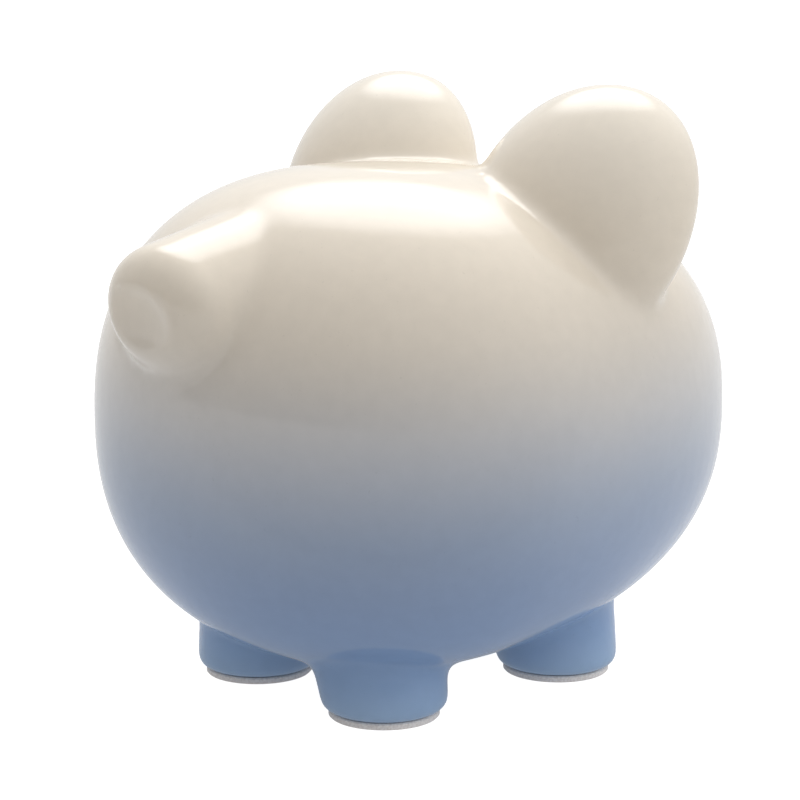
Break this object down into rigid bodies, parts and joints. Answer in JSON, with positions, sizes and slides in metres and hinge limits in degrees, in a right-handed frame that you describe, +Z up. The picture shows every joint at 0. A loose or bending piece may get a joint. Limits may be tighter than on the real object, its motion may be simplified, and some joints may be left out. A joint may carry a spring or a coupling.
{
  "type": "piggy bank",
  "caption": "Round glazed-ceramic pig money bank on stubby feet, with a coin slot in its back and a pull-out belly stopper.",
  "frame": {"origin": "on the surface the bank stands on, under the middle of its box", "axes": "+Z up, -Y the way the pig faces, +X the pig's left"},
  "size_m": [0.181, 0.216, 0.1828],
  "materials": {
    "fading_glaze": "glossy glaze that fades from warm white at the top to blue at the bottom",
    "cream_glaze": "glossy warm white glaze",
    "blue_glaze": "glossy blue glaze",
    "pad_felt": "pale pressed felt",
    "stopper_rubber": "translucent white soft rubber"
  },
  "bodies": {
    "bank": {"body_shell": "fading_glaze", "ear_left": "cream_glaze", "ear_right": "cream_glaze", "foot_front_left": "blue_glaze", "foot_front_right": "blue_glaze", "foot_rear_left": "blue_glaze", "foot_rear_right": "blue_glaze", "pad_front_left": "pad_felt", "pad_front_right": "pad_felt", "pad_rear_left": "pad_felt", "pad_rear_right": "pad_felt", "snout": "fading_glaze", "tail": "fading_glaze"},
    "stopper": {"stopper": "stopper_rubber"}
  },
  "joints": [
    {"name": "stopper_pull", "type": "slide", "parent": "bank", "child": "stopper", "axis": [0, 0, -1], "range_m": [0, 0.04]}
  ]
}
